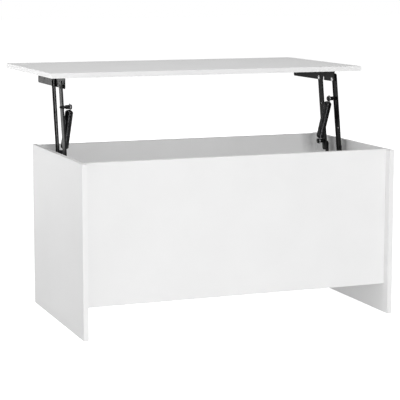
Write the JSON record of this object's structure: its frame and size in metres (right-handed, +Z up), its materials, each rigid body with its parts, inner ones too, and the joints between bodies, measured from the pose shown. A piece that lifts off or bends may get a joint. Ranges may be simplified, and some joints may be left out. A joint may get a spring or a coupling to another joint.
{
  "type": "lift top coffee table",
  "caption": "Rectangular storage coffee table of white boards whose flat top rises and moves back on spring loaded steel arms.",
  "frame": {"origin": "on the floor, under the middle of the raised table's outline", "axes": "+X along the table to the right, +Y from the front to the back, the way the top moves as it rises, +Z up"},
  "size_m": [1.02, 0.8106, 0.75],
  "materials": {
    "white_board": "white melamine faced board, satin",
    "black_steel": "black powder coat, satin",
    "bare_steel": "bright zinc plated",
    "spring_steel": "black oiled wire, glossy",
    "zinc": "dull zinc casting"
  },
  "bodies": {
    "box": {"left_side_panel": "white_board", "right_side_panel": "white_board", "front_panel": "white_board", "back_panel": "white_board", "bottom_panel": "white_board", "front_panel_cam_1": "zinc", "back_panel_cam_1": "zinc", "front_panel_cam_2": "zinc", "back_panel_cam_2": "zinc", "front_panel_cam_3": "zinc", "back_panel_cam_3": "zinc", "front_panel_cam_4": "zinc", "back_panel_cam_4": "zinc", "left_base_bracket": "black_steel", "left_base_screw_1": "bare_steel", "left_base_screw_2": "bare_steel", "left_base_screw_3": "bare_steel", "left_front_lower_rivet": "black_steel", "left_rear_lower_rivet": "black_steel", "right_base_bracket": "black_steel", "right_base_screw_1": "bare_steel", "right_base_screw_2": "bare_steel", "right_base_screw_3": "bare_steel", "right_front_lower_rivet": "black_steel", "right_rear_lower_rivet": "black_steel"},
    "top": {"lift_top": "white_board", "left_top_bracket": "black_steel", "left_top_screw_1": "bare_steel", "left_top_screw_2": "bare_steel", "left_top_screw_3": "bare_steel", "left_top_screw_4": "bare_steel", "left_front_upper_rivet": "bare_steel", "left_rear_upper_rivet": "bare_steel", "right_top_bracket": "black_steel", "right_top_screw_1": "bare_steel", "right_top_screw_2": "bare_steel", "right_top_screw_3": "bare_steel", "right_top_screw_4": "bare_steel", "right_front_upper_rivet": "bare_steel", "right_rear_upper_rivet": "bare_steel"},
    "left_front_lever": {"left_front_arm": "black_steel", "left_upper_spring_bolt": "black_steel", "left_upper_sleeve": "black_steel", "left_spring_bolt_nut": "black_steel"},
    "left_rear_lever": {"left_rear_arm": "black_steel", "left_lower_spring_bolt": "black_steel", "left_lower_sleeve": "black_steel"},
    "left_hook_low": {"left_lower_spring_hook": "spring_steel"},
    "left_coil": {"left_spring_coil": "spring_steel"},
    "left_hook_high": {"left_upper_spring_hook": "spring_steel"},
    "right_front_lever": {"right_front_arm": "black_steel", "right_upper_spring_bolt": "black_steel", "right_upper_sleeve": "black_steel", "right_spring_bolt_nut": "black_steel"},
    "right_rear_lever": {"right_rear_arm": "black_steel", "right_lower_spring_bolt": "black_steel", "right_lower_sleeve": "black_steel"},
    "right_hook_low": {"right_lower_spring_hook": "spring_steel"},
    "right_coil": {"right_spring_coil": "spring_steel"},
    "right_hook_high": {"right_upper_spring_hook": "spring_steel"}
  },
  "joints": [
    {"name": "lift", "type": "hinge", "parent": "box", "child": "left_front_lever", "pos_m": [-0.4582, -0.10127, 0.487], "axis": [1, 0, 0], "range_deg": [0, 102.16]},
    {"name": "left_rear_arm_pivot", "type": "hinge", "parent": "box", "child": "left_rear_lever", "pos_m": [-0.4533, -0.00527, 0.487], "axis": [1, 0, 0], "range_deg": [0, 102.2]},
    {"name": "right_front_arm_pivot", "type": "hinge", "parent": "box", "child": "right_front_lever", "pos_m": [0.4582, -0.10127, 0.487], "axis": [1, 0, 0], "range_deg": [0, 102.2]},
    {"name": "right_rear_arm_pivot", "type": "hinge", "parent": "box", "child": "right_rear_lever", "pos_m": [0.4533, -0.00527, 0.487], "axis": [1, 0, 0], "range_deg": [0, 102.2]},
    {"name": "top_pivot", "type": "hinge", "parent": "left_front_lever", "child": "top", "pos_m": [-0.4582, -0.06307, 0.70366], "axis": [1, 0, 0], "range_deg": [-102.2, 0]},
    {"name": "left_hook_high_pivot", "type": "hinge", "parent": "left_front_lever", "child": "left_hook_high", "pos_m": [-0.4337, -0.07384, 0.6426], "axis": [1, 0, 0], "range_deg": [-36.9, 0]},
    {"name": "left_hook_low_pivot", "type": "hinge", "parent": "left_rear_lever", "child": "left_hook_low", "pos_m": [-0.4337, -0.00333, 0.49803], "axis": [1, 0, 0], "range_deg": [-36.9, 0]},
    {"name": "left_spring_stretch", "type": "slide", "parent": "left_hook_low", "child": "left_coil", "axis": [0, -0.4384, 0.8988], "range_m": [0, 0.082], "deforming": ["left_spring_coil"]},
    {"name": "right_hook_high_pivot", "type": "hinge", "parent": "right_front_lever", "child": "right_hook_high", "pos_m": [0.4337, -0.07384, 0.6426], "axis": [1, 0, 0], "range_deg": [-36.9, 0]},
    {"name": "right_hook_low_pivot", "type": "hinge", "parent": "right_rear_lever", "child": "right_hook_low", "pos_m": [0.4337, -0.00333, 0.49803], "axis": [1, 0, 0], "range_deg": [-36.9, 0]},
    {"name": "right_spring_stretch", "type": "slide", "parent": "right_hook_low", "child": "right_coil", "axis": [0, -0.4384, 0.8988], "range_m": [0, 0.082], "deforming": ["right_spring_coil"]}
  ],
  "couplings": [
    {"joint": "left_rear_arm_pivot", "follows": "lift", "ratio": 1},
    {"joint": "right_front_arm_pivot", "follows": "lift", "ratio": 1},
    {"joint": "right_rear_arm_pivot", "follows": "lift", "ratio": 1},
    {"joint": "top_pivot", "follows": "lift", "ratio": -1},
    {"joint": "left_hook_high_pivot", "follows": "lift", "ratio": -0.36074},
    {"joint": "left_hook_low_pivot", "follows": "lift", "ratio": -0.36074},
    {"joint": "left_spring_stretch", "follows": "lift", "m_per_rad": 0.045939},
    {"joint": "right_hook_high_pivot", "follows": "lift", "ratio": -0.36074},
    {"joint": "right_hook_low_pivot", "follows": "lift", "ratio": -0.36074},
    {"joint": "right_spring_stretch", "follows": "lift", "m_per_rad": 0.045939}
  ]
}
